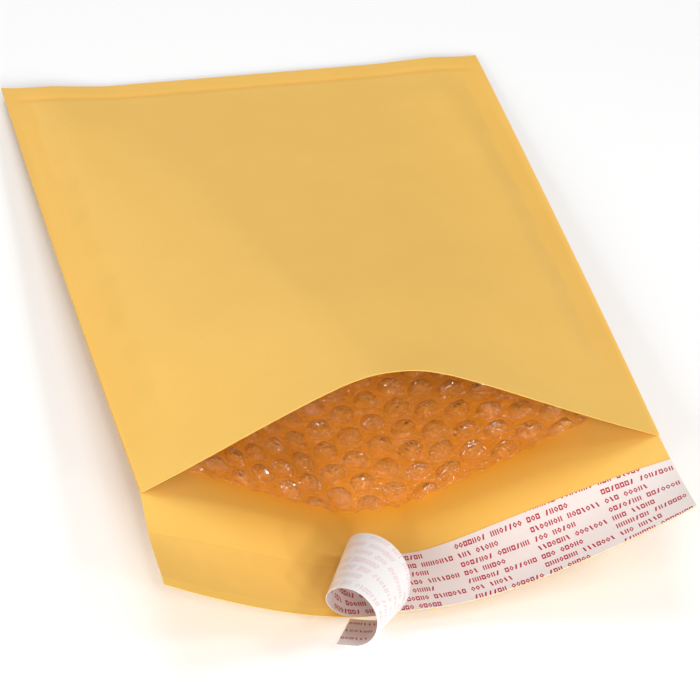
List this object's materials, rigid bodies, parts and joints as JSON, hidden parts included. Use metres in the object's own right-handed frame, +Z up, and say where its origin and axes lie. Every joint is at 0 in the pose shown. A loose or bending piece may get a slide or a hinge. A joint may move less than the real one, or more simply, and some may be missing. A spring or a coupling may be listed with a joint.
{
  "type": "padded envelope",
  "caption": "Kraft paper mailing envelope lined with bubble film, mouth sprung open, with a self-seal flap whose release liner is half peeled and curled.",
  "frame": {"origin": "on the floor under the middle of the outline", "axes": "+X across the envelope, +Y towards its closed end, +Z up; the mouth and the flap are at -Y"},
  "size_m": [0.2158, 0.3578, 0.0748],
  "materials": {
    "kraft_paper": "matte golden kraft with a faint fibre",
    "bubble_film": "clear glossy bubble film over kraft",
    "adhesive": "clear tacky film",
    "liner_paper": "smooth coated paper with rows of small red marks"
  },
  "bodies": {
    "root": {"back_panel": "kraft_paper", "front_panel": "kraft_paper", "back_bubble_lining": "bubble_film", "front_bubble_lining": "bubble_film", "adhesive_strip": "adhesive", "release_liner": "liner_paper"}
  },
  "joints": []
}
